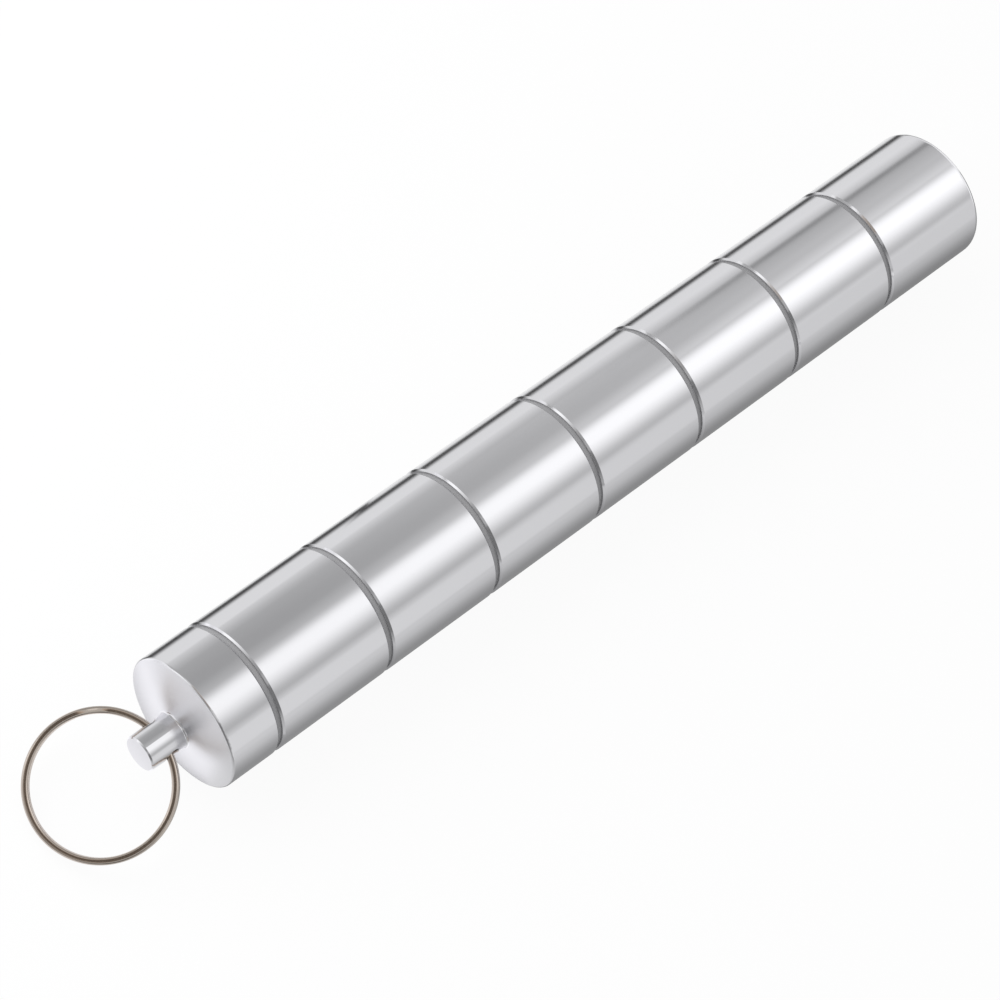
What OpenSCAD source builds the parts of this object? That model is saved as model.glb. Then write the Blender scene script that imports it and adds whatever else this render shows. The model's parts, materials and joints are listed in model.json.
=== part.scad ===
// Weekly pill box: a cap and seven turned compartments that screw end to end, sealed by
// rubber rings, with a split key ring through a post on the cap.
// The box lies on its side with the key ring resting on the same surface.
// X runs along the box from the cap to the far end, Z is up, and the origin lies on the
// surface below the middle of the whole length.

/* [Body] */
// Number of compartments, one for each day
day_count = 7; // [2:1:10]
// Outer diameter of the cap and the compartments
body_d = 20; // [19.6:0.1:24]
// Length of a compartment's outer shell
shell_len = 18.9; // [16:0.1:40]
// Bore of a compartment
bore_d = 14; // [10:0.1:14.4]
// Round at the foot of a compartment's bore
bore_round = 1; // [0.4:0.1:2]
// Thickness of the floor between a compartment and the socket under it
floor_t = 1.3; // [0.8:0.1:3]
// Thickness of the closed far end
end_wall = 1.8; // [1.2:0.1:4]
// Round of the far end's edge
end_round = 1; // [0.4:0.1:1.6]
// Chamfer on the edges of the shells
edge_chamfer = 0.25; // [0.05:0.05:0.35]

/* [Joint between two pieces] */
// Width of the open groove between two shells
groove_w = 0.8; // [0.3:0.05:1.2]
// Depth of the groove, down to the collar
groove_depth = 0.5; // [0.2:0.05:0.6]
// Diameter of the screw neck at the root of its thread
neck_d = 16.2; // [16:0.1:16.6]
// Length of the screw neck above its collar
neck_len = 4.6; // [3.5:0.1:7]
// Lead-in chamfer at the neck's mouth
neck_chamfer = 0.3; // [0.1:0.05:0.5]
// Room between the neck and the socket's wall, all round, for the threads
thread_room = 0.4; // [0.2:0.05:0.5]
// Room between the neck's mouth and the socket's end
mouth_room = 0.4; // [0.2:0.1:1]

/* [Seal ring] */
// Thickness of the rubber ring
seal_t = 1; // [0.8:0.05:1.2]
// Depth of its seat below the neck's surface
seal_seat_depth = 0.25; // [0.1:0.05:0.4]
// Room between the ring and the metal round it
seal_room = 0.05; // [0.02:0.01:0.1]

/* [Cap] */
// Length of the cap from its open rim to its top rim
cap_len = 7.9; // [7:0.1:16]
// Height of the crowned top at its middle, above the top rim
crown_h = 1.6; // [0.6:0.1:2.4]
// Round of the top rim's edge
cap_round = 0.4; // [0.2:0.05:1]

/* [Post] */
// Diameter of the post on the cap
post_d = 5.3; // [4.6:0.1:7]
// Height of the post's end above the cap's top rim
post_h = 7.45; // [6.6:0.05:10]
// Chamfer on the post's end
post_chamfer = 0.2; // [0.1:0.05:0.6]
// Fillet round the post's foot
post_fillet = 0.3; // [0.1:0.05:0.6]
// Height of the cross hole's middle above the cap's top rim
hole_h = 3.8; // [3.7:0.05:4.4]
// Diameter of the cross hole
hole_d = 2.6; // [2.5:0.1:3]

/* [Key ring] */
// Outer diameter of the split ring
ring_od = 20.6; // [19:0.1:30]
// Width of its wire, across the ring
wire_w = 1; // [0.7:0.05:1.1]
// Thickness of its wire, along the ring's axis
wire_t = 0.65; // [0.5:0.05:0.7]
// Bevel along the wire's edges
wire_bevel = 0.16; // [0.05:0.01:0.2]
// Gap between its two turns
turn_gap = 0.45; // [0.42:0.01:0.5]
// Arc over which the wire climbs from the first turn to the second
climb_arc = 26; // [16:1:40]
// Arc left open between that climb and each end of the wire
end_arc = 2; // [1:0.5:6]
// Where the climb lies, counted round the ring from the post
split_at = 59; // [45:1:315]

/* [Hidden] */
$fn = 128;

// Radii of the turned profiles
body_r = body_d / 2;
bore_r = bore_d / 2;
neck_r = neck_d / 2;
collar_r = body_r - groove_depth;
socket_r = neck_r + thread_room;
seal_seat_r = neck_r - seal_seat_depth;
seal_mid_r = seal_seat_r + seal_room + seal_t / 2;
seal_recess_r = seal_mid_r + seal_t / 2 + seal_room;

// Heights in a compartment, from its open base
pitch = shell_len + groove_w;
seal_space = seal_t + 2 * seal_room;
mouth_h = pitch + neck_len;
socket_depth = neck_len + mouth_room;
floor_h = socket_depth + floor_t;

// Heights in the cap, from its open rim, and the sphere of its crown
crown_r = (body_r * body_r + crown_h * crown_h) / (2 * crown_h);
crown_mid_h = cap_len + crown_h - crown_r;
cap_round_mid_h = crown_mid_h + sqrt(pow(crown_r - cap_round, 2) - pow(body_r - cap_round, 2));
crown_edge_r = (body_r - cap_round) * crown_r / (crown_r - cap_round);
post_r = post_d / 2;
post_foot_h = crown_mid_h + sqrt(crown_r * crown_r - pow(post_r + post_fillet, 2));

// The split ring hangs from the cross hole, and its droop brings its edge down to the surface
ring_r = ring_od / 2 - wire_w / 2;
ring_stack = 2 * wire_t + turn_gap;
ring_reach = ring_r + ring_od / 2;
ring_droop = asin(body_r / norm([ring_reach, ring_stack / 2])) - atan2(ring_stack / 2, ring_reach);
ring_out = hole_h + ring_reach * cos(ring_droop) + ring_stack / 2 * sin(ring_droop);

// Places along X
body_len = cap_len + day_count * pitch;
top_rim_x = (ring_out - body_len) / 2;
hole_x = top_rim_x - hole_h;

// Angle of one step along the split ring's wire
step_arc = 5;

// X of the base of a compartment, counted from the cap, which is number 0
function base_x(day) = top_rim_x + cap_len + day * pitch;

// Stands a turned piece on its base at X, pointing towards the cap
module on_axis(x) {
    translate([x, 0, body_r])
        rotate([0, -90, 0])
            children();
}

// Outer outline of a shell with chamfered edges
module shell_outline(height) {
    polygon([
        [0, 0],
        [body_r - edge_chamfer, 0],
        [body_r, edge_chamfer],
        [body_r, height - edge_chamfer],
        [body_r - edge_chamfer, height],
        [0, height]
    ]);
}

// What a round of radius r takes off an outer corner at [x, 0]
module corner_waste(x, r) {
    translate([x - r, 0])
        difference() {
            square([r + 1, r]);
            translate([0, r])
                circle(r);
        }
}

// Collar, seal seat and screw neck above a compartment's shell
module neck_outline() {
    square([collar_r, pitch]);
    square([seal_seat_r, pitch + seal_space]);
    translate([0, pitch + seal_space])
        polygon([
            [0, 0],
            [seal_seat_r, 0],
            [neck_r, seal_seat_depth],
            [neck_r, neck_len - seal_space - neck_chamfer],
            [neck_r - neck_chamfer, neck_len - seal_space],
            [0, neck_len - seal_space]
        ]);
}

// Socket that takes the next neck, with the recess for its seal ring
module socket_outline() {
    square([socket_r, socket_depth]);
    square([seal_recess_r, seal_space + seal_room]);
}

// Bore from a rounded foot up to the mouth
module bore_outline(foot_h) {
    difference() {
        translate([0, foot_h])
            square([bore_r, mouth_h - foot_h]);
        translate([0, foot_h])
            corner_waste(bore_r, bore_round);
    }
}

module compartment(day) {
    last = day == day_count;
    on_axis(base_x(day))
        color("silver")
            rotate_extrude()
                difference() {
                    union() {
                        shell_outline(shell_len);
                        neck_outline();
                    }
                    if (last) {
                        corner_waste(body_r, end_round);
                        bore_outline(end_wall);
                    } else {
                        socket_outline();
                        bore_outline(floor_h);
                    }
                }
}

// Rubber ring in the seat at the foot of a compartment's neck
module seal_ring(day) {
    on_axis(base_x(day))
        translate([0, 0, pitch + seal_room + seal_t / 2])
            color("dimgray")
                rotate_extrude()
                    translate([seal_mid_r, 0])
                        circle(d = seal_t, $fn = 48);
}

// Skirt and crowned top
module cap_outline() {
    polygon([
        [0, 0],
        [body_r - edge_chamfer, 0],
        [body_r, edge_chamfer],
        [body_r, cap_round_mid_h],
        [0, cap_round_mid_h]
    ]);
    translate([body_r - cap_round, cap_round_mid_h])
        circle(cap_round);
    intersection() {
        translate([0, crown_mid_h])
            circle(crown_r);
        translate([0, cap_round_mid_h - cap_round])
            square([crown_edge_r, crown_h + 2 * cap_round]);
    }
}

// Post in the middle of the cap's top
module post_outline() {
    end_h = cap_len + post_h;
    polygon([
        [0, cap_len - cap_round],
        [post_r, cap_len - cap_round],
        [post_r, end_h - post_chamfer],
        [post_r - post_chamfer, end_h],
        [0, end_h]
    ]);
    difference() {
        translate([0, cap_len - cap_round])
            square([post_r + post_fillet, post_foot_h + post_fillet - cap_len + cap_round]);
        translate([post_r + post_fillet, post_foot_h + post_fillet])
            circle(post_fillet);
    }
}

module cap() {
    on_axis(base_x(0))
        color("gainsboro")
            difference() {
                rotate_extrude()
                    difference() {
                        union() {
                            cap_outline();
                            post_outline();
                        }
                        socket_outline();
                    }
                translate([0, 0, cap_len + hole_h])
                    rotate([90, 0, 0])
                        cylinder(d = hole_d, h = post_d + 2, center = true);
            }
}

// The wire's bevelled section, as [across the ring, along its axis]
wire_section = [
    for (side = [[1, 1], [-1, 1], [-1, -1], [1, -1]])
        for (bevel = side[0] * side[1] > 0 ? [[0, 1], [1, 0]] : [[1, 0], [0, 1]])
            [side[0] * (wire_w / 2 - bevel[0] * wire_bevel), side[1] * (wire_t / 2 - bevel[1] * wire_bevel)]
];

// Angles along the wire's two turns, and how far it has climbed from the first to the second
first_end = climb_arc / 2 + end_arc;
last_end = 720 - first_end;
wire_angles = concat(
    [first_end],
    [for (i = [floor(first_end / step_arc) + 1:ceil(last_end / step_arc) - 1]) i * step_arc],
    [last_end]
);
function climbed(angle) = max(0, min(1, (angle - 360) / climb_arc + 0.5));
function eased(share) = share * share * (3 - 2 * share);
function wire_h(angle) = (eased(climbed(angle)) - 0.5) * (wire_t + turn_gap);
function wire_point(angle, at) = [
    (ring_r + at[0]) * cos(angle + split_at),
    (ring_r + at[0]) * sin(angle + split_at),
    wire_h(angle) + at[1]
];
sides = len(wire_section);
ring_steps = len(wire_angles) - 1;
wire_points = [
    for (angle = wire_angles)
        for (at = wire_section)
            wire_point(angle, at)
];

// Least distance between the points of the two turns, which has to stay over 0.4
turn_steps = 360 / step_arc;
turn_distance = min([
    for (i = [0:ring_steps - turn_steps])
        for (j = [max(i + turn_steps - 3, 0):min(i + turn_steps + 3, ring_steps)])
            for (a = [0:sides - 1])
                for (b = [0:sides - 1])
                    norm(wire_points[i * sides + a] - wire_points[j * sides + b])
]);
echo(least_gap_of_the_ring_to_itself = turn_distance);

// Two turns of wire as one unbroken sweep
module split_ring() {
    polyhedron(
        points = wire_points,
        faces = concat(
            [for (a = [1:sides - 2]) [0, a + 1, a]],
            [for (a = [1:sides - 2]) [for (b = [0, a, a + 1]) ring_steps * sides + b]],
            [
                for (i = [0:ring_steps - 1])
                    for (a = [0:sides - 1])
                        for (half = [0, 1])
                            half == 0
                                ? [i * sides + a, i * sides + (a + 1) % sides, (i + 1) * sides + a]
                                : [i * sides + (a + 1) % sides, (i + 1) * sides + (a + 1) % sides, (i + 1) * sides + a]
            ]
        )
    );
}

module key_ring() {
    translate([hole_x, 0, body_r])
        rotate([0, -ring_droop, 0])
            translate([-ring_r, 0, 0])
                color("lightslategray")
                    split_ring();
}

cap();
key_ring();
for (day = [1:day_count]) {
    compartment(day);
    seal_ring(day);
}
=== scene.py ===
"""Weekly pill box: the finish of its turned aluminium, its split ring and its rubber seal rings,
the screw threads between its pieces, and the plain white studio that it is seen in."""

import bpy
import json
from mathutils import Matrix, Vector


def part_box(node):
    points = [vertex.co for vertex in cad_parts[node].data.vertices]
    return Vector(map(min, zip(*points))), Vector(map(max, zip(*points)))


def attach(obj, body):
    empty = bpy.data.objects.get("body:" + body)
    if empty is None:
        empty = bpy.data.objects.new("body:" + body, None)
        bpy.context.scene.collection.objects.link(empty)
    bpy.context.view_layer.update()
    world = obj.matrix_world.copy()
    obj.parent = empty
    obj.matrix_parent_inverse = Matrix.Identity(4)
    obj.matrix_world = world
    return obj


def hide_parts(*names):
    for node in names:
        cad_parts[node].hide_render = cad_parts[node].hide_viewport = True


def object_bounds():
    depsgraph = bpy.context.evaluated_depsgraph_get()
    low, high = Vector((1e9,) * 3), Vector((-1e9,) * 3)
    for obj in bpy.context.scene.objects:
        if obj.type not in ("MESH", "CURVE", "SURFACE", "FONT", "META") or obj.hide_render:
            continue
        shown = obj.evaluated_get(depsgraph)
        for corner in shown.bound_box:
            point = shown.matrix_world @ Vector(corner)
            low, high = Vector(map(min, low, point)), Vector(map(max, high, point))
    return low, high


bl_info = {
    "name": "Weekly pill box",
    "version": (1, 0, 0),
    "blender": (4, 5, 0),
    "location": "View3D > Sidebar > Pill Box",
    "description": "Finishes a screw-together weekly pill box and sets up its studio",
    "category": "Add Mesh",
}

import json
from math import asin, atan2, cos, hypot, pi, radians, sin, tau

import bpy
from mathutils import Matrix, Vector

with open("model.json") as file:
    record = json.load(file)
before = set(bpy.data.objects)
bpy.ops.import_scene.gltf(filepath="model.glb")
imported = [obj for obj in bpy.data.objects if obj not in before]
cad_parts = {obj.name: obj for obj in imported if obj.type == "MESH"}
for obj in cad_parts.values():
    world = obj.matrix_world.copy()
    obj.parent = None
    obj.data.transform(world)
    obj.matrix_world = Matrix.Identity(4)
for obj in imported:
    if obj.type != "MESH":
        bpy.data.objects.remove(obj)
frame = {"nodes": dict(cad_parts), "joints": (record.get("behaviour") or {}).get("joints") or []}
cad_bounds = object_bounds()

MM = 0.001

# Joints and pieces, counted from the cap
days = sum(name.startswith("compartment_") for name in frame["nodes"])
joints = {joint["name"]: joint for joint in frame["joints"]}
axis_z = joints["cap_turn"]["pos_m"][2]
body_radius = (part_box("cap")[1].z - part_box("cap")[0].z) / 2

# The cap's post, in millimetres
post_height = 7.45
post_diameter = 5.3

# Most of a noise texture's values lie between these two
noise_low = 0.3
noise_high = 0.7

# How deep the relief of each finish can go
relief = 0.02 * MM

# Where along X the metal mirrors a board: this much further on for each millimetre that the board is away
view_reach = 0.54

# The boards that lie on the floor are this far over it, in millimetres
over_floor = 0.3


def upper_piece(day):
    """Name of the piece that screws on the neck of a compartment."""
    return f"compartment_{day - 1}" if day > 1 else "cap"


def neck_root_x(day):
    """Place along X where the neck of a compartment leaves its collar."""
    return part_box(upper_piece(day))[1].x


def srgb(code):
    """Linear colour of an sRGB hex value."""
    channels = (int(code[i:i + 2], 16) / 255 for i in (1, 3, 5))
    return tuple(c / 12.92 if c <= 0.04045 else ((c + 0.055) / 1.055) ** 2.4 for c in channels) + (1,)


def length(name, description, default_mm):
    """A length property, written in millimetres and held in metres."""
    return bpy.props.FloatProperty(
        name=name, description=description, default=default_mm * MM,
        min=0.0, max=1.0, precision=5, subtype="DISTANCE", unit="LENGTH",
    )


def angle(name, description, default_deg):
    """An angle property, written in degrees and held in radians."""
    return bpy.props.FloatProperty(
        name=name, description=description, default=radians(default_deg), subtype="ANGLE", unit="ROTATION",
    )


def colour(name, description, default_hex):
    """A colour property, written as an sRGB hex value and held as linear colour."""
    return bpy.props.FloatVectorProperty(
        name=name, description=description, default=srgb(default_hex), size=4, min=0, max=1, subtype="COLOR",
    )


def share(name, description, default, high=1.0):
    """A plain number from zero up."""
    return bpy.props.FloatProperty(name=name, description=description, default=default, min=0, max=high)


class FinishSettings(bpy.types.PropertyGroup):
    """Colours and gloss of the metal and the rubber."""

    aluminium: colour("Aluminium", "Colour of the polished aluminium", "#EDEDF0")
    machined: colour("Machined aluminium", "Colour of the aluminium inside the joints", "#D6D6D8")
    # The grooves' darker colour is painted shade of the recess between two shells, and the part of each
    # groove that isn't bare metal is this painted grey
    groove_shade: colour("Groove", "Colour of the grooves between the shells, which have darkened", "#ABABAD")
    groove_finish: share("Groove finish", "Roughness of the grooves between the shells", 0.55)
    groove_metal: share("Groove metal", "Share of bare metal in the grooves, the rest being stain", 0.45)
    polish: share("Polish", "Roughness of the polished outside", 0.15)
    crown: share("Crown", "Roughness of the cap's top, which is buffed by hand round the post", 0.4)
    machining: share("Machining", "Roughness of the necks, sockets and bores", 0.4)
    nickel: colour("Nickel", "Colour of the nickel plate on the split ring", "#D2C7BD")
    rubber: colour("Rubber", "Colour of the seal rings", "#232326")


class ThreadSettings(bpy.types.PropertyGroup):
    """The screw thread between two pieces."""

    pitch: length("Pitch", "Rise of the thread in one turn", 1.0)
    root_radius: length("Neck radius", "Radius of the neck at the root of its thread", 8.1)
    wall_radius: length("Socket radius", "Radius of the socket at the root of its thread", 8.5)
    height: length("Height", "Height of a thread's ridge above its root", 0.34)
    root_width: length("Root width", "Width of the ridge at its root", 0.74)
    crest_width: length("Crest width", "Width of the ridge at its crest", 0.16)
    first: length("First turn", "Where the neck's thread starts, from the collar", 1.55)
    neck_thread: length("Neck thread", "Length of the neck's thread along the axis", 2.35)
    socket_thread: length("Socket thread", "Length of the socket's thread along the axis", 2.3)


class RingSettings(bpy.types.PropertyGroup):
    """The split key ring."""

    wire_width: length("Wire width", "Width of the wire across the ring", 1.0)
    turn_gap: length("Gap", "Gap between the two turns", 0.06)
    wire_round: length("Wire round", "Round along the edges of the wire", 0.34)
    stack: length("Stack", "Height of both turns together", 1.75)
    climb_arc: angle("Climb", "Arc over which the wire climbs to its second turn", 26)
    end_arc: angle("End", "Arc left open between the climb and each end of the wire", 2)
    split_at: angle("Split", "Where the climb lies, counted round the ring from the post", 59)


class StageSettings(bpy.types.PropertyGroup):
    """The studio and the camera."""

    floor: colour("Floor", "Colour of the floor", "#F7F7F8")
    backlight: share("Backlight", "Share of the paper's white that comes from behind it", 0.93)
    world: share("World", "Brightness of the room round the stage", 0.6)
    lamp: share("Lamp", "Brightness of the lamp in the softbox", 2.4, 10)
    azimuth: angle("Azimuth", "Direction the camera looks in, from +Y", -81.73)
    elevation: angle("Elevation", "Height of the camera above the horizon", 61.297)
    roll: angle("Roll", "Turn of the camera about its line of sight", 45.09)
    distance: length("Distance", "Distance from the camera to the floor along its line of sight", 551.6)
    lens: bpy.props.FloatProperty(name="Lens", description="Focal length", default=142.014, unit="CAMERA")


def add(tree, kind, inputs=None, **settings):
    """Adds a node, gives it its settings, and links or sets its inputs."""
    node = tree.nodes.new(kind)
    for name, value in settings.items():
        setattr(node, name, value)
    for socket, value in (inputs or {}).items():
        if isinstance(value, bpy.types.NodeSocket):
            tree.links.new(value, node.inputs[socket])
        else:
            node.inputs[socket].default_value = value
    return node


def empty_material(name):
    """A material with an empty node tree, and that tree."""
    material = bpy.data.materials.new(name)
    material.use_nodes = True
    material.node_tree.nodes.clear()
    return material, material.node_tree


def about_axis(tree):
    """Sockets of the place about the box's axis, of its part across the axis, of its part along the
    axis and of the distance from the axis, all in millimetres."""
    place = add(tree, "ShaderNodeTexCoord").outputs["Object"]
    centred = add(tree, "ShaderNodeMapping", {
        "Vector": place, "Location": (0, 0, -axis_z / MM), "Scale": (1 / MM,) * 3,
    }).outputs[0]
    across = add(tree, "ShaderNodeVectorMath", {0: centred, 1: (0, 1, 1)}, operation="MULTIPLY").outputs[0]
    along = add(tree, "ShaderNodeSeparateXYZ", {0: centred}).outputs["X"]
    away = add(tree, "ShaderNodeVectorMath", {0: across}, operation="LENGTH").outputs["Value"]
    return centred, across, along, away


def lathe_normal(tree, across, away):
    """Socket of the way the surface faces, kept square to the lathe's turning. The solids' facets
    break their smooth shading along a seam, which a lathe never leaves."""
    faced = add(tree, "ShaderNodeTexCoord").outputs["Normal"]
    outward = add(tree, "ShaderNodeVectorMath", {0: across}, operation="NORMALIZE").outputs[0]
    side = add(tree, "ShaderNodeVectorMath", {
        0: outward, 1: faced,
    }, operation="DOT_PRODUCT").outputs["Value"]
    radial = add(tree, "ShaderNodeVectorMath", {0: outward, "Scale": side}, operation="SCALE").outputs[0]
    axial = add(tree, "ShaderNodeVectorMath", {0: faced, 1: (1, 0, 0)}, operation="MULTIPLY").outputs[0]
    square = add(tree, "ShaderNodeVectorMath", {0: axial, 1: radial}, operation="ADD").outputs[0]
    # The post and its fillet are left as they are, because of the hole across them
    post_edge = post_diameter / 2 + 0.4
    past_post = add(tree, "ShaderNodeMath", {0: away, 1: post_edge}, operation="GREATER_THAN").outputs[0]
    turned = add(tree, "ShaderNodeMix", {
        "Factor": past_post, 4: faced, 5: square,
    }, data_type="VECTOR").outputs[1]
    return add(tree, "ShaderNodeVectorTransform", {
        0: turned,
    }, vector_type="NORMAL", convert_from="OBJECT", convert_to="WORLD").outputs[0]


def band(tree, value, low, high, blur):
    """Socket that is 1 where a value lies between low and high, and 0 past a blur on both sides."""
    rising = add(tree, "ShaderNodeMapRange", {
        "Value": value, "From Min": low - blur, "From Max": low,
    }).outputs[0]
    falling = add(tree, "ShaderNodeMapRange", {
        "Value": value, "From Min": high, "From Max": high + blur, "To Min": 1, "To Max": 0,
    }).outputs[0]
    return add(tree, "ShaderNodeMath", {0: rising, 1: falling}, operation="MULTIPLY").outputs[0]


def turned_aluminium(name, finish):
    """6061 aluminium turned on a lathe. The outside is polished, so it mirrors the room softly,
    and what lies below the shell's surface keeps the grey sheen of the cutting tool."""
    material, tree = empty_material(name)
    centred, across, along, away = about_axis(tree)
    shell = body_radius / MM
    top_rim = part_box("cap")[0].x / MM + post_height
    # Where the finishes end: distances from the axis, and places along it
    skin = shell - 0.35
    groove_floor = shell - 0.52
    groove_edge = shell - 0.3
    fillet_edge = post_diameter / 2 + 0.3
    rim_edge = shell - 0.3
    cap_front = top_rim + 0.5
    cap_inside = top_rim + 1.7

    # Every tool mark runs round the axis, so it depends only on the place along it and off it
    mark_place = add(tree, "ShaderNodeCombineXYZ", {"X": along, "Y": away}).outputs[0]
    # Tool marks are about 0.05 mm apart, and are drawn at 0.3 mm so that the render shows them
    mark_spacing = 0.3
    marks = add(tree, "ShaderNodeTexNoise", {
        "Vector": mark_place, "Scale": 1 / mark_spacing, "Detail": 4, "Roughness": 0.6,
    }).outputs["Fac"]
    # Buffing leaves faint cloudy patches some 4 mm across
    cloud_size = 4
    clouds = add(tree, "ShaderNodeTexNoise", {
        "Vector": centred, "Scale": 1 / cloud_size, "Detail": 3,
    }).outputs["Fac"]
    # Necks, sockets and bores lie below the shell, and behind the cap's rim
    below = band(tree, away, 0, skin, blur=0.1)
    behind = add(tree, "ShaderNodeMath", {0: along, 1: cap_inside}, operation="GREATER_THAN").outputs[0]
    dull = add(tree, "ShaderNodeMath", {0: below, 1: behind}, operation="MULTIPLY").outputs[0]
    # The open grooves get a darker grey, painted shade of the recess, which draws the line between two shells
    groove_band = band(tree, away, groove_floor, groove_edge, blur=0.06)
    groove_shade_mask = add(tree, "ShaderNodeMath", {0: groove_band, 1: behind}, operation="MULTIPLY").outputs[0]
    # The cap's crowned top is buffed by hand round the post, which leaves it softer than the rest
    crowned = band(tree, away, fillet_edge, rim_edge, blur=0.2)
    ahead = add(tree, "ShaderNodeMath", {0: along, 1: cap_front}, operation="LESS_THAN").outputs[0]
    soft = add(tree, "ShaderNodeMath", {0: crowned, 1: ahead}, operation="MULTIPLY").outputs[0]

    plain = add(tree, "ShaderNodeMix", {
        "Factor": dull, 6: tuple(finish.aluminium), 7: tuple(finish.machined),
    }, data_type="RGBA").outputs[2]
    base = add(tree, "ShaderNodeMix", {
        "Factor": groove_shade_mask, 6: plain, 7: tuple(finish.groove_shade),
    }, data_type="RGBA").outputs[2]
    shine = add(tree, "ShaderNodeMix", {"Factor": soft, 2: finish.polish, 3: finish.crown}).outputs[0]
    inner = add(tree, "ShaderNodeMix", {
        "Factor": groove_shade_mask, 2: finish.machining, 3: finish.groove_finish,
    }).outputs[0]
    gloss = add(tree, "ShaderNodeMix", {"Factor": dull, 2: shine, 3: inner}).outputs[0]
    cloudy = add(tree, "ShaderNodeMapRange", {
        "Value": clouds, "From Min": noise_low, "From Max": noise_high, "To Min": 0.93, "To Max": 1.07,
    }).outputs[0]
    varied = add(tree, "ShaderNodeMath", {0: gloss, 1: cloudy}, operation="MULTIPLY").outputs[0]
    # Polish takes most of the tool marks off the outside
    depth = add(tree, "ShaderNodeMix", {"Factor": dull, 2: 0.05, 3: 0.3}).outputs[0]
    bump = add(tree, "ShaderNodeBump", {
        "Height": marks, "Strength": depth, "Distance": relief, "Normal": lathe_normal(tree, across, away),
    }).outputs[0]
    tangent = add(tree, "ShaderNodeTangent", direction_type="RADIAL", axis="X").outputs[0]
    # The painted shade's grey covers about half of the metal, and scatters the lamp's light
    bare = add(tree, "ShaderNodeMix", {"Factor": groove_shade_mask, 2: 1.0, 3: finish.groove_metal}).outputs[0]
    # The marks round the axis draw each reflection out along the box
    shader = add(tree, "ShaderNodeBsdfPrincipled", {
        "Base Color": base, "Metallic": bare, "Roughness": varied, "Normal": bump, "Tangent": tangent,
        "Anisotropic": 0.4, "Anisotropic Rotation": 0.25,
    })
    add(tree, "ShaderNodeOutputMaterial", {"Surface": shader.outputs[0]})
    return material


def fine_grain(tree, size, detail, smoothest, roughest, strength):
    """Sockets of a roughness and a bump that follow a grain of this size, in millimetres."""
    place = add(tree, "ShaderNodeTexCoord").outputs["Object"]
    grain = add(tree, "ShaderNodeTexNoise", {
        "Vector": place, "Scale": 1 / (size * MM), "Detail": detail,
    }).outputs["Fac"]
    rough = add(tree, "ShaderNodeMapRange", {
        "Value": grain, "From Min": noise_low, "From Max": noise_high,
        "To Min": smoothest, "To Max": roughest,
    }).outputs[0]
    bump = add(tree, "ShaderNodeBump", {"Height": grain, "Strength": strength, "Distance": relief}).outputs[0]
    return rough, bump


def nickel_plate(name, tint):
    """Nickel plated spring steel: a warm grey mirror, a little uneven from the drawing of the wire."""
    material, tree = empty_material(name)
    # The plate's faint orange peel is about 0.2 mm across
    rough, bump = fine_grain(tree, size=0.2, detail=2, smoothest=0.1, roughest=0.18, strength=0.12)
    shader = add(tree, "ShaderNodeBsdfPrincipled", {
        "Base Color": tint, "Metallic": 1.0, "Roughness": rough, "Normal": bump,
    })
    add(tree, "ShaderNodeOutputMaterial", {"Surface": shader.outputs[0]})
    return material


def nitrile_rubber(name, tint):
    """Moulded nitrile rubber: near black, with the dull sheen of the grease it is fitted with."""
    material, tree = empty_material(name)
    # The mould's fine grain is about 0.15 mm
    rough, bump = fine_grain(tree, size=0.15, detail=3, smoothest=0.38, roughest=0.55, strength=0.25)
    shader = add(tree, "ShaderNodeBsdfPrincipled", {"Base Color": tint, "Roughness": rough, "Normal": bump})
    add(tree, "ShaderNodeOutputMaterial", {"Surface": shader.outputs[0]})
    return material


def node_tool(name, sizes):
    """An empty geometry node tree with a named input for each size, and its input and output nodes."""
    tree = bpy.data.node_groups.new(name, "GeometryNodeTree")
    for size, kind in sizes.items():
        tree.interface.new_socket(size, in_out="INPUT", socket_type=kind)
    tree.interface.new_socket("Geometry", in_out="OUTPUT", socket_type="NodeSocketGeometry")
    return tree, add(tree, "NodeGroupInput").outputs, add(tree, "NodeGroupOutput")


def finish_tool(tree, shape, material_socket, output):
    """Ends a geometry node tree: real geometry in its material."""
    real = add(tree, "GeometryNodeRealizeInstances", {0: shape}).outputs[0]
    smooth = add(tree, "GeometryNodeSetShadeSmooth", {0: real, "Shade Smooth": True}).outputs[0]
    painted = add(tree, "GeometryNodeSetMaterial", {0: smooth, "Material": material_socket}).outputs[0]
    tree.links.new(painted, output.inputs[0])


def made_by(tool, name, values, place):
    """Runs a geometry node tree with these inputs, and keeps its result as a plain mesh, set in its place."""
    carrier = bpy.data.objects.new(name, bpy.data.meshes.new(name))
    bpy.context.collection.objects.link(carrier)
    modifier = carrier.modifiers.new("tool", "NODES")
    modifier.node_group = tool
    for item in tool.interface.items_tree:
        if item.in_out == "INPUT" and item.name in values:
            modifier[item.identifier] = values[item.name]
    graph = bpy.context.evaluated_depsgraph_get()
    mesh = bpy.data.meshes.new_from_object(carrier.evaluated_get(graph), depsgraph=graph)
    carrier.modifiers.clear()
    carrier.data = mesh
    mesh.name = name
    mesh.transform(place)
    return carrier


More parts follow.
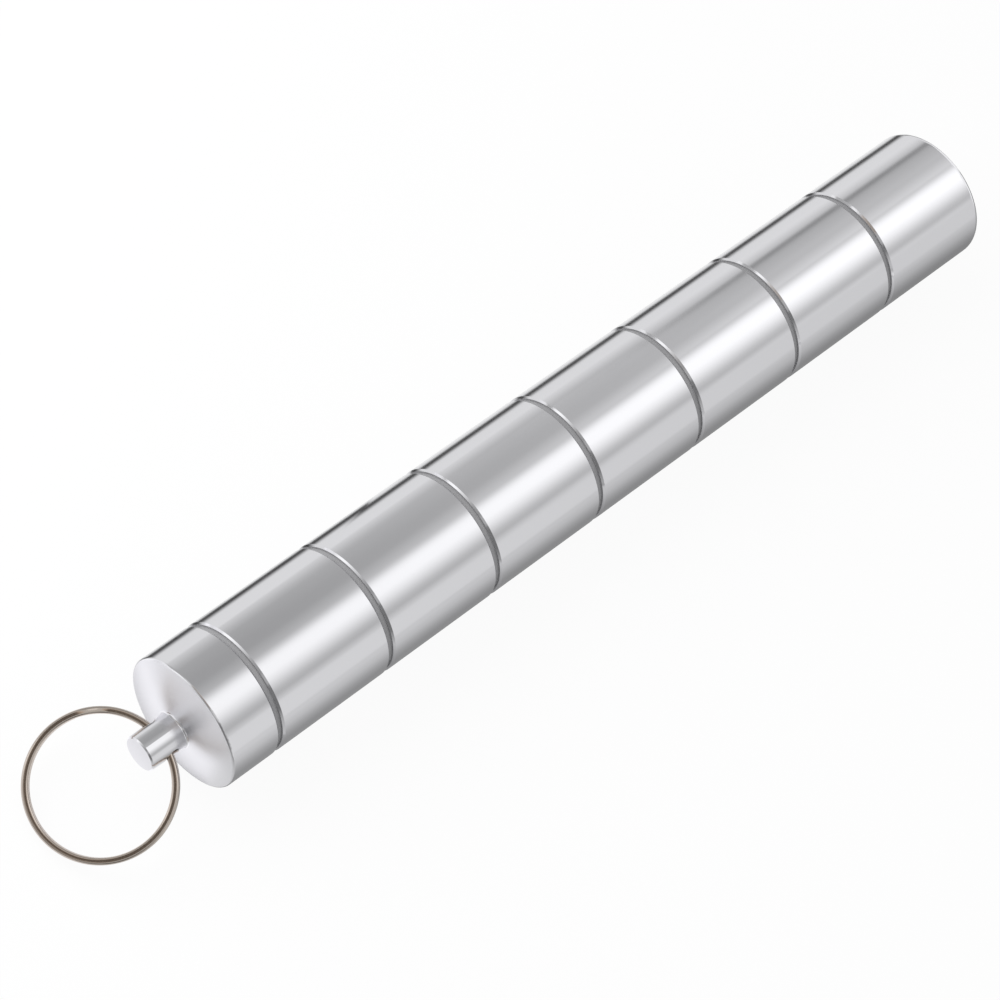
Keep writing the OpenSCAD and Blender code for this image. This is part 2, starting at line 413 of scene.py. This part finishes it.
def thread_tool():
    """Geometry nodes of one right-handed screw thread's ridge: a trapezoid swept along a helix, fading at
    both ends. Its crest faces out at a facing of -90 degrees, and in at 90 degrees."""
    points_a_turn = 72
    size = "NodeSocketFloat"
    tree, given, output = node_tool("screw thread", {
        "Radius": size, "Pitch": size, "Turns": size, "Height": size,
        "Root width": size, "Crest width": size, "Facing": size, "Material": "NodeSocketMaterial",
    })
    rise = add(tree, "ShaderNodeMath", {
        0: given["Pitch"], 1: given["Turns"],
    }, operation="MULTIPLY").outputs[0]
    helix = add(tree, "GeometryNodeCurveSpiral", {
        "Resolution": points_a_turn, "Rotations": given["Turns"], "Start Radius": given["Radius"],
        "End Radius": given["Radius"], "Height": rise, "Reverse": True,
    }).outputs[0]
    upright = add(tree, "GeometryNodeSetCurveNormal", {0: helix}, mode="Z_UP").outputs[0]
    section = add(tree, "GeometryNodeCurvePrimitiveQuadrilateral", {
        "Bottom Width": given["Root width"], "Top Width": given["Crest width"],
        "Height": given["Height"], "Offset": 0.0,
    }, mode="TRAPEZOID").outputs[0]
    facing = add(tree, "ShaderNodeCombineXYZ", {"Z": given["Facing"]}).outputs[0]
    standing = add(tree, "GeometryNodeTransform", {"Geometry": section, "Rotation": facing}).outputs[0]
    # The ridge grows from next to nothing over the first and last tenth of its length
    fade = 0.1
    tip = 0.02
    along = add(tree, "GeometryNodeSplineParameter").outputs["Factor"]
    growing = add(tree, "ShaderNodeMapRange", {
        "Value": along, "From Min": 0.0, "From Max": fade, "To Min": tip, "To Max": 1.0,
    }, interpolation_type="SMOOTHSTEP").outputs[0]
    fading = add(tree, "ShaderNodeMapRange", {
        "Value": along, "From Min": 1 - fade, "From Max": 1.0, "To Min": 1.0, "To Max": tip,
    }, interpolation_type="SMOOTHSTEP").outputs[0]
    size_along = add(tree, "ShaderNodeMath", {0: growing, 1: fading}, operation="MULTIPLY").outputs[0]
    ridge = add(tree, "GeometryNodeCurveToMesh", {
        "Curve": upright, "Profile Curve": standing, "Scale": size_along, "Fill Caps": True,
    }).outputs[0]
    finish_tool(tree, ridge, given["Material"], output)
    return tree


def ring_tool():
    """Geometry nodes of the split ring: a wire of rounded section wound twice round, one turn over
    the other."""
    wire_points = 401
    edge_points = 5
    size = "NodeSocketFloat"
    tree, given, output = node_tool("split ring", {
        "Radius": size, "First angle": size, "Last angle": size, "Climb": size, "Rise": size,
        "Wire width": size, "Wire thickness": size, "Wire round": size, "Material": "NodeSocketMaterial",
    })
    line = add(tree, "GeometryNodeCurvePrimitiveLine", {"Start": (0, 0, 0), "End": (1, 0, 0)}).outputs[0]
    wire = add(tree, "GeometryNodeResampleCurve", {0: line, "Count": wire_points}).outputs[0]
    along = add(tree, "GeometryNodeSplineParameter").outputs["Factor"]
    turned = add(tree, "ShaderNodeMapRange", {
        "Value": along, "From Min": 0.0, "From Max": 1.0,
        "To Min": given["First angle"], "To Max": given["Last angle"],
    }).outputs[0]
    # The wire climbs from the low turn to the high one half way along, after its first full turn
    half_climb = add(tree, "ShaderNodeMath", {0: given["Climb"], 1: 0.5}, operation="MULTIPLY").outputs[0]
    climb_start = add(tree, "ShaderNodeMath", {0: tau, 1: half_climb}, operation="SUBTRACT").outputs[0]
    climb_end = add(tree, "ShaderNodeMath", {0: tau, 1: half_climb}, operation="ADD").outputs[0]
    high = add(tree, "ShaderNodeMath", {0: given["Rise"], 1: 0.5}, operation="MULTIPLY").outputs[0]
    low = add(tree, "ShaderNodeMath", {0: given["Rise"], 1: -0.5}, operation="MULTIPLY").outputs[0]
    climbed = add(tree, "ShaderNodeMapRange", {
        "Value": turned, "From Min": climb_start, "From Max": climb_end, "To Min": low, "To Max": high,
    }, interpolation_type="SMOOTHSTEP").outputs[0]
    across = add(tree, "ShaderNodeMath", {0: turned}, operation="COSINE").outputs[0]
    back = add(tree, "ShaderNodeMath", {0: turned}, operation="SINE").outputs[0]
    x = add(tree, "ShaderNodeMath", {0: across, 1: given["Radius"]}, operation="MULTIPLY").outputs[0]
    y = add(tree, "ShaderNodeMath", {0: back, 1: given["Radius"]}, operation="MULTIPLY").outputs[0]
    place = add(tree, "ShaderNodeCombineXYZ", {"X": x, "Y": y, "Z": climbed}).outputs[0]
    wound = add(tree, "GeometryNodeSetPosition", {0: wire, "Position": place}).outputs[0]
    upright = add(tree, "GeometryNodeSetCurveNormal", {0: wound}, mode="Z_UP").outputs[0]
    flat = add(tree, "GeometryNodeCurvePrimitiveQuadrilateral", {
        "Width": given["Wire width"], "Height": given["Wire thickness"],
    }, mode="RECTANGLE").outputs[0]
    rounded = add(tree, "GeometryNodeFilletCurve", {
        0: flat, "Count": edge_points, "Radius": given["Wire round"], "Limit Radius": True,
    }, mode="POLY").outputs[0]
    tube = add(tree, "GeometryNodeCurveToMesh", {
        "Curve": upright, "Profile Curve": rounded, "Fill Caps": True,
    }).outputs[0]
    finish_tool(tree, tube, given["Material"], output)
    return tree


class PILLBOX_OT_turned_parts(bpy.types.Operator):
    """Gives the cap and the compartments the finish of turned and polished aluminium"""

    bl_idname = "pillbox.turned_parts"
    bl_label = "Finish the turned parts"

    def execute(self, context):
        aluminium = turned_aluminium("polished_turned_aluminium", context.scene.pillbox_finish)
        for day in range(days + 1):
            name = f"compartment_{day}" if day else "cap"
            frame["nodes"][name].material_slots[0].material = aluminium
        return {"FINISHED"}


class PILLBOX_OT_seal_rings(bpy.types.Operator):
    """Gives the seal rings the finish of moulded rubber"""

    bl_idname = "pillbox.seal_rings"
    bl_label = "Finish the seal rings"

    def execute(self, context):
        rubber = nitrile_rubber("moulded_nitrile_rubber", tuple(context.scene.pillbox_finish.rubber))
        for day in range(1, days + 1):
            frame["nodes"][f"seal_ring_{day}"].material_slots[0].material = rubber
        return {"FINISHED"}


class PILLBOX_OT_threads(bpy.types.Operator):
    """Cuts the screw thread on each neck, and the one that it meets in the socket above it"""

    bl_idname = "pillbox.threads"
    bl_label = "Make the threads"

    def execute(self, context):
        thread = context.scene.pillbox_thread
        metal = turned_aluminium("machined_aluminium_thread", context.scene.pillbox_finish)
        tool = thread_tool()
        towards_cap = Matrix.Rotation(-pi / 2, 4, "Y")
        for day in range(1, days + 1):
            # The neck's ridge stands on its root, and the socket's hangs from its wall half a pitch on
            for name, body, radius, facing, start, run in (
                (f"neck_thread_{day}", f"compartment_{day}", thread.root_radius, -90, 0, thread.neck_thread),
                (f"socket_thread_{day}", upper_piece(day), thread.wall_radius, 90, 0.5, thread.socket_thread),
            ):
                first = neck_root_x(day) - thread.first - start * thread.pitch
                # Half of the ridge's section lies in the metal that it stands on
                ridge = made_by(tool, name, {
                    "Radius": radius, "Pitch": thread.pitch, "Turns": run / thread.pitch,
                    "Height": 2 * thread.height, "Root width": 2 * thread.root_width - thread.crest_width,
                    "Crest width": thread.crest_width, "Facing": radians(facing), "Material": metal,
                }, Matrix.Translation((first, 0, axis_z)) @ towards_cap)
                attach(ridge, body)
        return {"FINISHED"}


class PILLBOX_OT_key_ring(bpy.types.Operator):
    """Winds the split ring in the place of the plain one"""

    bl_idname = "pillbox.key_ring"
    bl_label = "Wind the key ring"

    def execute(self, context):
        ring = context.scene.pillbox_ring
        nickel = nickel_plate("nickel_plated_spring_steel", tuple(context.scene.pillbox_finish.nickel))
        low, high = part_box("key_ring")
        hole_x = joints["key_ring_swing"]["pos_m"][0]
        radius = (high.y - low.y - ring.wire_width) / 2
        thickness = (ring.stack - ring.turn_gap) / 2
        # The ring leans on the hole, and its outer edge lies on the surface
        reach = 2 * radius + ring.wire_width / 2
        droop = asin(axis_z / hypot(reach, ring.stack / 2)) - atan2(ring.stack / 2, reach)
        first = ring.climb_arc / 2 + ring.end_arc
        place = (
            Matrix.Translation((hole_x, 0, axis_z))
            @ Matrix.Rotation(-droop, 4, "Y")
            @ Matrix.Translation((-radius, 0, 0))
            @ Matrix.Rotation(ring.split_at, 4, "Z")
        )
        wire = made_by(ring_tool(), "split_key_ring", {
            "Radius": radius, "First angle": first, "Last angle": 2 * tau - first,
            "Climb": ring.climb_arc, "Rise": thickness + ring.turn_gap,
            "Wire width": ring.wire_width, "Wire thickness": thickness, "Wire round": ring.wire_round,
            "Material": nickel,
        }, place)
        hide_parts("key_ring")
        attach(wire, "key_ring")
        return {"FINISHED"}


def stage_mesh(name, rows, material):
    """A stage surface through two or more rows of points, in millimetres. Its UV runs from 0 to 1
    down the rows and along them."""
    width = len(rows[0])
    corners = [Vector(point) * MM for row in rows for point in row]
    faces = [
        (down * width + i, down * width + i + 1, (down + 1) * width + i + 1, (down + 1) * width + i)
        for down in range(len(rows) - 1)
        for i in range(width - 1)
    ]
    mesh = bpy.data.meshes.new(name)
    mesh.from_pydata(corners, [], faces)
    uv = mesh.uv_layers.new(name="UVMap")
    for loop in mesh.loops:
        down, i = divmod(loop.vertex_index, width)
        uv.data[loop.index].uv = (down / (len(rows) - 1), i / (width - 1))
    mesh.materials.append(material)
    surface = bpy.data.objects.new(name, mesh)
    bpy.context.collection.objects.link(surface)
    return surface


def lit_board(name, rows, stops, near=1.0, far=1.0, reach=0, tint=(1.0, 1.0, 1.0)):
    """A board that only the metal's reflections show. Its grey follows the stops down its rows, and is
    multiplied by near and far where the two ends of the box mirror it, reach millimetres further along."""
    material, tree = empty_material(name)
    place = add(tree, "ShaderNodeTexCoord").outputs
    down = add(tree, "ShaderNodeSeparateXYZ", {0: place["UV"]}).outputs["X"]
    along = add(tree, "ShaderNodeSeparateXYZ", {0: place["Object"]}).outputs["X"]
    ramp = add(tree, "ShaderNodeValToRGB", {0: down})
    points = ramp.color_ramp.elements
    while len(points) < len(stops):
        points.new(0.5)
    for point, (where, grey) in zip(points, stops):
        point.position = where
        point.color = (grey * tint[0], grey * tint[1], grey * tint[2], 1)
    level = add(tree, "ShaderNodeMapRange", {
        "Value": along, "From Min": cad_bounds[0].x + reach * MM, "From Max": cad_bounds[1].x + reach * MM,
        "To Min": near, "To Max": far,
    }).outputs[0]
    glow = add(tree, "ShaderNodeEmission", {"Color": ramp.outputs[0], "Strength": level}).outputs[0]
    add(tree, "ShaderNodeOutputMaterial", {"Surface": glow})
    # It isn't sampled as a lamp, because it lights nothing
    material.cycles.emission_sampling = "NONE"
    board = stage_mesh(name, rows, material)
    board.visible_camera = False
    board.visible_diffuse = False
    board.visible_shadow = False
    board.visible_transmission = False


def arched_board(name, radius, x_range, stops, near=1.0, far=1.0):
    """A lit board bent round the box's axis. Its stops are pairs of an angle above +Y and a grey."""
    bend = 5
    first, last = stops[0][0], stops[-1][0]
    steps = max(1, round((last - first) / bend))
    turns = [radians(first + (last - first) * i / steps) for i in range(steps + 1)]
    rows = [[(x, radius * cos(turn), radius * sin(turn) + axis_z / MM) for x in x_range] for turn in turns]
    shares = [((degree - first) / (last - first), grey) for degree, grey in stops]
    lit_board(name, rows, shares, near, far, radius * view_reach)


def paper_shade(name, sides, stops, near=1.0, far=1.0):
    """A lit board on the floor along one side of the box. Its stops are pairs of a distance from the
    axis in millimetres and a grey, and sides gives how far they spread at some places along X."""
    last = stops[-1][0]
    rows = [[(x, edge * spread, over_floor) for x, spread in sides] for edge in (0, last)]
    lit_board(name, rows, [(place / last, grey) for place, grey in stops], near, far, reach=20)


def backdrop_seen(tree):
    """Socket that is 1 where the eye, the metal or glass sees the backdrop, and 0 for the light it gives."""
    ray = add(tree, "ShaderNodeLightPath").outputs
    mirrored = add(tree, "ShaderNodeMath", {
        0: ray["Is Glossy Ray"], 1: ray["Is Transmission Ray"],
    }, operation="MAXIMUM").outputs[0]
    return add(tree, "ShaderNodeMath", {
        0: ray["Is Camera Ray"], 1: mirrored,
    }, operation="MAXIMUM").outputs[0]


def lay_paper(stage):
    """White paper, lit from behind as far as the eye and the metal see it, with the box's faint
    shade on it."""
    material, tree = empty_material("white_paper")
    paper = add(tree, "ShaderNodeBsdfDiffuse", {"Color": tuple(stage.floor)}).outputs[0]
    glow = add(tree, "ShaderNodeEmission", {"Color": (1, 1, 1, 1), "Strength": 1.0}).outputs[0]
    amount = add(tree, "ShaderNodeMath", {
        0: backdrop_seen(tree), 1: stage.backlight,
    }, operation="MULTIPLY").outputs[0]
    mixed = add(tree, "ShaderNodeMixShader", {0: amount, 1: paper, 2: glow}).outputs[0]
    add(tree, "ShaderNodeOutputMaterial", {"Surface": mixed})
    half_side = 2000
    reach = (-half_side, half_side)
    stage_mesh("floor", [[(x, y, 0) for y in reach] for x in reach], material)


def light_room(stage):
    """The room's even light, which the eye and the metal see as plain white."""
    world = bpy.data.worlds.new("room")
    bpy.context.scene.world = world
    world.use_nodes = True
    tree = world.node_tree
    tree.nodes.clear()
    level = add(tree, "ShaderNodeMix", {"Factor": backdrop_seen(tree), 2: stage.world, 3: 1.0}).outputs[0]
    glow = add(tree, "ShaderNodeBackground", {"Color": (1, 1, 1, 1), "Strength": level}).outputs[0]
    add(tree, "ShaderNodeOutputWorld", {"Surface": glow})


def hang_lamp(stage):
    """The lamp in the softbox, which the metal doesn't mirror: it mirrors the softbox's cloth."""
    lamp = bpy.data.lights.new("softbox_lamp", "AREA")
    lamp.shape = "RECTANGLE"
    lamp.size = 400 * MM
    lamp.size_y = 300 * MM
    # Its face keeps its brightness when its size changes
    lamp.energy = stage.lamp * pi * lamp.size * lamp.size_y
    softbox = bpy.data.objects.new("softbox_lamp", lamp)
    softbox.location = Vector((-150, 220, 200)) * MM
    softbox.rotation_euler = (radians(-48), radians(-22), 0)
    softbox.visible_glossy = False
    bpy.context.collection.objects.link(softbox)


def hang_boards():
    """The pale and dark boards that the metal mirrors, in millimetres. They light nothing else."""
    # Grey cloth arches over the whole box, and the softbox's white cloth with its soft edges under it
    along = (-85, 600)
    arched_board("cloth", 400, along, [(-3, 0.74), (90, 0.74), (183, 0.74)], 1.02, 0.93)
    arched_board("softbox_cloth", 375, along, [
        (79, 0.6), (81, 0.65), (83, 0.73), (85.3, 0.83), (87.6, 0.95), (90, 1.04), (92, 1.1), (97, 1.16),
        (109, 1.15), (118, 0.99), (129, 0.72), (134, 0.6), (141, 0.51), (149, 0.68), (152, 0.71),
    ], 0.93, 1.04)
    # A grey board stands on the +Y side, darker towards the cap, with a soft foot
    arched_board("grey_board", 380, along, [
        (21, 0.56), (27, 0.54), (35, 0.52), (47, 0.49), (60, 0.485), (75, 0.62), (81, 0.66),
    ], 0.77, 1.18)
    arched_board("foot", 378, along, [
        (-3, 0.81), (4, 0.75), (9, 0.68), (16, 0.58), (21, 0.54),
    ], 0.86, 1.02)
    # The far end of the box mirrors a dark gap between the board and its foot
    arched_board("gap", 370, (256, 600), [
        (17, 0.48), (21, 0.28), (25, 0.29), (30, 0.45), (36, 0.5), (42, 0.52), (52, 0.57),
    ])
    # What the metal shows of the paper close by: it lies in the box's own shade
    paper_shade("paper_left", ((-62, 0.76), (-15, 0.82), (10, 1), (400, 1)), [
        (0, 0.9), (15, 0.9), (19.5, 0.72), (22, 0.1), (27, 0.04), (31, 0.36), (37, 0.8), (400, 0.84),
    ])
    paper_shade("paper_right", ((-62, -1), (400, -1)), [
        (0, 0.28), (18, 0.28), (24, 0.35), (35, 0.47), (48, 0.56), (100, 0.66), (400, 0.73),
    ], 1.08, 0.9)
    # The paper in front of the cap is bright close by, and greyer far off. Right at the cap and again some 13
    # to 18 mm out it carries painted shade of the box and its post
    lit_board("paper_front", [
        [(-62, -150, over_floor), (-62, 150, over_floor)],
        [(-1062, -1200, over_floor), (-1062, 1200, over_floor)],
    ], [
        (0, 0.6), (0.003, 1.1), (0.008, 1.12), (0.013, 0.82), (0.018, 0.82), (0.03, 0.94), (0.15, 0.94),
        (0.35, 0.8), (1, 0.6),
    ], tint=(0.985, 0.98, 1.0))
    # A dark card stands by the cap on the -Y side, and the paper at its foot is greyed with painted shade
    lit_board("dark_card", [[(x, -160, z) for z in (0, 230)] for x in (-460, -70)], [
        (0, 0.2), (0.72, 0.17), (1, 0.66),
    ])
    lit_board("front_paper_painted_shade", [
        [(-62, -8, 0.5), (-400, -50, 0.5)],
        [(-62, -300, 0.5), (-400, -300, 0.5)],
    ], [
        (0, 0.8), (0.03, 0.6), (0.3, 0.3), (1, 0.25),
    ])
    # Behind the camera stand a white wall on the +Y side and the grey room, and it is a warm dark
    # round the camera itself
    lit_board("white_wall", [[(-320, y, z) for z in (0, 260)] for y in (-40, 320)], [
        (0, 0.3), (0.25, 0.4), (0.6, 0.9), (0.75, 1.15), (1, 1.15),
    ])
    room_radius = 1500
    turns = [radians(degree) for degree in range(60, 301, 10)]
    lit_board("grey_room", [
        [(room_radius * cos(turn), room_radius * sin(turn), z) for turn in turns]
        for z in (60, 1500)
    ], [
        (0, 0.42), (0.8, 0.45), (1, 0.78),
    ])
    lit_board("grey_ceiling", [[(x, y, 1500) for y in (-2000, 2000)] for x in (-2600, -90)], [
        (0, 0.62), (1, 0.62),
    ])
    lit_board("dark_ceiling", [[(x, y, 300) for y in (-56, 197)] for x in (-387, -129)], [
        (0, 0.7), (0.38, 0.13), (0.62, 0.13), (1, 0.7),
    ], tint=(1.0, 0.86, 0.75))


def place_camera(stage):
    """The camera, at the photograph's place and angle."""
    back = Vector((
        sin(stage.azimuth) * cos(stage.elevation),
        -cos(stage.azimuth) * cos(stage.elevation),
        sin(stage.elevation),
    ))
    # The point of the floor in the middle of the picture
    aim = Vector((0.895, 0.5, 0)) * MM
    camera = bpy.data.objects.new("camera", bpy.data.cameras.new("camera"))
    camera.data.lens = stage.lens
    camera.data.clip_start = 10 * MM
    camera.matrix_world = (
        Matrix.Translation(aim + back * stage.distance)
        @ Matrix.Rotation(stage.azimuth, 4, "Z")
        @ Matrix.Rotation(pi / 2 - stage.elevation, 4, "X")
        @ Matrix.Rotation(stage.roll, 4, "Z")
    )
    bpy.context.collection.objects.link(camera)
    bpy.context.scene.camera = camera


class PILLBOX_OT_stage(bpy.types.Operator):
    """Lays the floor, hangs the lamp and the boards, and sets the camera"""

    bl_idname = "pillbox.stage"
    bl_label = "Set up the studio"

    def execute(self, context):
        stage = context.scene.pillbox_stage
        context.scene.view_settings.view_transform = "Standard"
        lay_paper(stage)
        light_room(stage)
        hang_lamp(stage)
        hang_boards()
        place_camera(stage)
        return {"FINISHED"}


class PILLBOX_PT_panel(bpy.types.Panel):
    """The pill box's sizes, colours and makers"""

    bl_label = "Pill Box"
    bl_idname = "PILLBOX_PT_panel"
    bl_space_type = "VIEW_3D"
    bl_region_type = "UI"
    bl_category = "Pill Box"

    def draw(self, context):
        layout = self.layout
        for group, settings in SETTINGS.items():
            box = layout.box()
            box.label(text=settings.__doc__)
            for name in settings.__annotations__:
                box.prop(getattr(context.scene, group), name)
        for operator in OPERATORS:
            layout.operator(operator.bl_idname)


SETTINGS = {
    "pillbox_finish": FinishSettings,
    "pillbox_thread": ThreadSettings,
    "pillbox_ring": RingSettings,
    "pillbox_stage": StageSettings,
}
OPERATORS = (
    PILLBOX_OT_stage,
    PILLBOX_OT_turned_parts,
    PILLBOX_OT_seal_rings,
    PILLBOX_OT_threads,
    PILLBOX_OT_key_ring,
)


def register():
    for cls in (*SETTINGS.values(), *OPERATORS, PILLBOX_PT_panel):
        bpy.utils.register_class(cls)
    for group, settings in SETTINGS.items():
        setattr(bpy.types.Scene, group, bpy.props.PointerProperty(type=settings))


def unregister():
    for group in SETTINGS:
        delattr(bpy.types.Scene, group)
    for cls in reversed((*SETTINGS.values(), *OPERATORS, PILLBOX_PT_panel)):
        bpy.utils.unregister_class(cls)


def main():
    register()
    bpy.ops.pillbox.stage()
    bpy.ops.pillbox.turned_parts()
    bpy.ops.pillbox.seal_rings()
    bpy.ops.pillbox.threads()
    bpy.ops.pillbox.key_ring()


if __name__ == "__main__":
    main()
